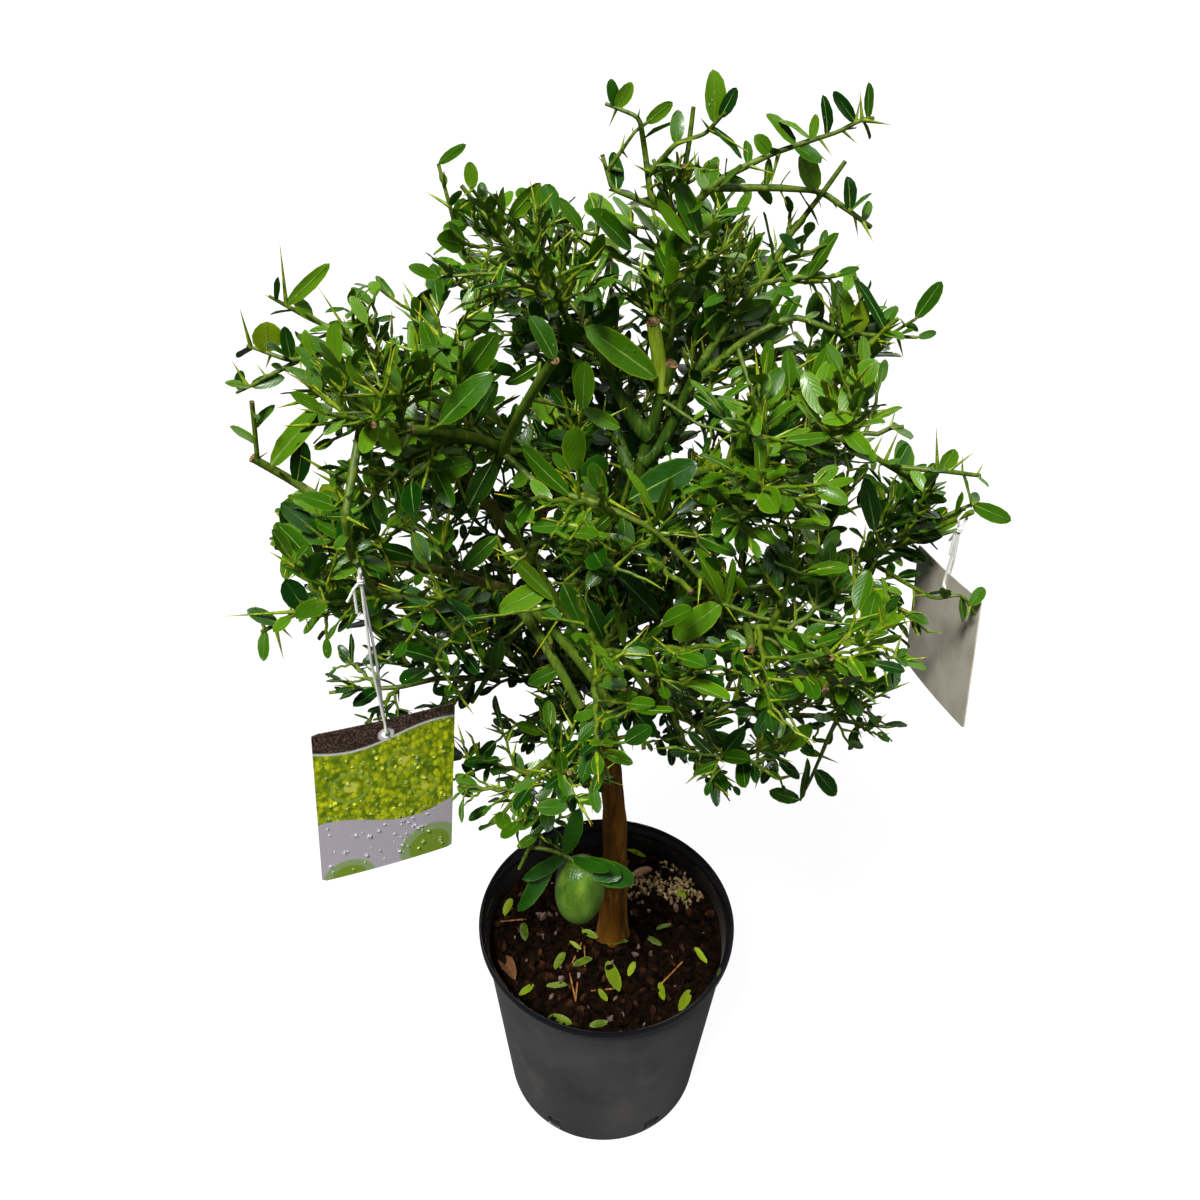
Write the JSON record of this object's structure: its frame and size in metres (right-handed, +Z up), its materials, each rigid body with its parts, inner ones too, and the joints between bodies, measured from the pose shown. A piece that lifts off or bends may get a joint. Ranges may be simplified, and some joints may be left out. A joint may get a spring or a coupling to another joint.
{
  "type": "potted faustrime tree",
  "caption": "Young faustrime citrus tree on one slim stem with a rounded open crown, hanging fruit and two hang tags, standing in a black plastic nursery pot.",
  "frame": {"origin": "middle of the pot's flat underside", "axes": "+Z up along the pot's axis, -Y towards the side that the picture shows, +X to that view's right"},
  "size_m": [0.4388, 0.4051, 0.8029],
  "materials": {
    "pot_plastic": "black moulded plastic, satin wall with faint scuffs, smoother glossy rim",
    "potting_mix": "dark chunky bark mix with small stones, damp",
    "brown_bark": "thin tan-brown bark with fine lengthwise cracks",
    "green_bark": "smooth green young bark, ridged, pruned ends pale",
    "leaves": "small glossy leaves, deep green inside to yellow-green at the tips",
    "tag_printed": "coated card, semi-gloss, plain lime and lilac-grey fields",
    "tag_back": "coated card, pale grey back, semi-gloss",
    "twine": "thin white twisted twine"
  },
  "bodies": {
    "root": {"bough_crown_left": "green_bark", "bough_crown_right": "green_bark", "bough_fruiting": "green_bark", "bough_lower_back": "green_bark", "bough_lower_back_left": "green_bark", "bough_lower_back_right": "green_bark", "bough_lower_front_left": "green_bark", "bough_lower_front_right": "green_bark", "bough_lower_left": "green_bark", "bough_lower_right": "green_bark", "bough_middle_back": "green_bark", "bough_middle_back_left": "green_bark", "bough_middle_back_right": "green_bark", "bough_middle_front": "green_bark", "bough_middle_front_left": "green_bark", "bough_middle_front_right": "green_bark", "bough_middle_left": "green_bark", "bough_middle_right": "green_bark", "bough_upper_back_left": "green_bark", "bough_upper_back_right": "green_bark", "bough_upper_front": "green_bark", "bough_upper_front_left": "green_bark", "bough_upper_front_right": "green_bark", "bough_upper_left": "green_bark", "bough_upper_right": "green_bark", "foliage_crown_left": "leaves", "foliage_crown_right": "leaves", "foliage_crown_top": "leaves", "foliage_fruiting": "leaves", "foliage_lower_back": "leaves", "foliage_lower_back_left": "leaves", "foliage_lower_back_right": "leaves", "foliage_lower_front_left": "leaves", "foliage_lower_front_right": "leaves", "foliage_lower_left": "leaves", "foliage_lower_right": "leaves", "foliage_middle_back": "leaves", "foliage_middle_back_left": "leaves", "foliage_middle_back_right": "leaves", "foliage_middle_front": "leaves", "foliage_middle_front_left": "leaves", "foliage_middle_front_right": "leaves", "foliage_middle_left": "leaves", "foliage_middle_right": "leaves", "foliage_upper_back_left": "leaves", "foliage_upper_back_right": "leaves", "foliage_upper_front": "leaves", "foliage_upper_front_left": "leaves", "foliage_upper_front_right": "leaves", "foliage_upper_left": "leaves", "foliage_upper_right": "leaves", "leader": "green_bark", "pot": "pot_plastic", "potting_mix": "potting_mix", "tag_left": "tag_printed", "tag_right": "tag_back", "tag_string_left": "twine", "tag_string_right": "twine", "trunk": "brown_bark"}
  },
  "joints": []
}
